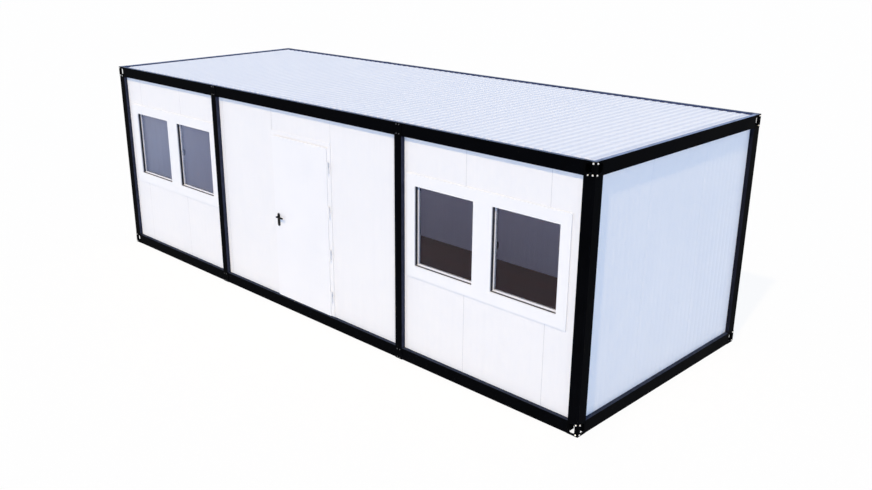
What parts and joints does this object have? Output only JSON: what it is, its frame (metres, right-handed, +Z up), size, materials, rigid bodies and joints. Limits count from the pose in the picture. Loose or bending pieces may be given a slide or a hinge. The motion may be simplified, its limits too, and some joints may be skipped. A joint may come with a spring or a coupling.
{
  "type": "portable site cabin",
  "caption": "Flat-roofed portable site cabin: a black bolted steel frame with slotted corners, white insulated panels, window pairs and a central outward door with lever handles.",
  "frame": {"origin": "middle of the underside of the floor frame, on the face of the middle joist", "axes": "+X along the front to the right, +Y from the front to the back, +Z up"},
  "size_m": [8, 3.036, 2.6],
  "materials": {
    "frame_paint": "semi-gloss black paint on folded steel",
    "casting_paint": "semi-gloss black paint on thick plate",
    "joist_steel": "dark primer",
    "floor_board": "dark wood-plank floor covering",
    "ceiling_board": "off-white coated sheet",
    "roof_sheet": "off-white coated ribbed sheet",
    "wall_panel": "white coated sheet with fine ribs",
    "window_trim": "white coated board",
    "window_plastic": "white window profile",
    "glass": "clear double glazing",
    "handle_black": "black moulded handle",
    "door_paint": "white coated steel",
    "threshold_metal": "satin extruded sill",
    "hinge_metal": "white painted steel"
  },
  "bodies": {
    "cabin": {"floor_front_rail": "frame_paint", "floor_back_rail": "frame_paint", "floor_left_rail": "frame_paint", "floor_right_rail": "frame_paint", "roof_front_rail": "frame_paint", "roof_back_rail": "frame_paint", "roof_left_rail": "frame_paint", "roof_right_rail": "frame_paint", "lower_casting_front_left": "casting_paint", "upper_casting_front_left": "casting_paint", "corner_post_front_left": "frame_paint", "lower_casting_front_right": "casting_paint", "upper_casting_front_right": "casting_paint", "corner_post_front_right": "frame_paint", "lower_casting_back_left": "casting_paint", "upper_casting_back_left": "casting_paint", "corner_post_back_left": "frame_paint", "lower_casting_back_right": "casting_paint", "upper_casting_back_right": "casting_paint", "corner_post_back_right": "frame_paint", "front_posts": "frame_paint", "back_posts": "frame_paint", "floor_joists": "joist_steel", "floor_deck": "floor_board", "ceiling_panel": "ceiling_board", "roof_sheet": "roof_sheet", "front_wall_left": "wall_panel", "front_wall_right": "wall_panel", "front_wall_over_door": "wall_panel", "back_wall": "wall_panel", "left_wall": "wall_panel", "right_wall": "wall_panel", "window_surround_left": "window_trim", "window_surround_right": "window_trim", "window_frames_left": "window_plastic", "window_frames_right": "window_plastic", "window_glass": "glass", "window_handles": "handle_black", "door_jambs": "door_paint", "door_head": "door_paint", "door_threshold": "threshold_metal", "hinge_frame_halves": "hinge_metal"},
    "door": {"door_leaf": "door_paint", "hinge_leaf_halves": "hinge_metal", "handle_plates": "handle_black"},
    "handle": {"lever_outside": "handle_black", "lever_inside": "handle_black"}
  },
  "joints": [
    {"name": "door_hinge", "type": "hinge", "parent": "cabin", "child": "door", "pos_m": [0.512, -1.49, 1.15], "axis": [0, 0, 1], "range_deg": [0, 115]},
    {"name": "handle_turn", "type": "hinge", "parent": "door", "child": "handle", "pos_m": [-0.428, -1.4635, 1.165], "axis": [0, 1, 0], "range_deg": [0, 45], "stiffness_Nm_per_rad": 1.5}
  ]
}
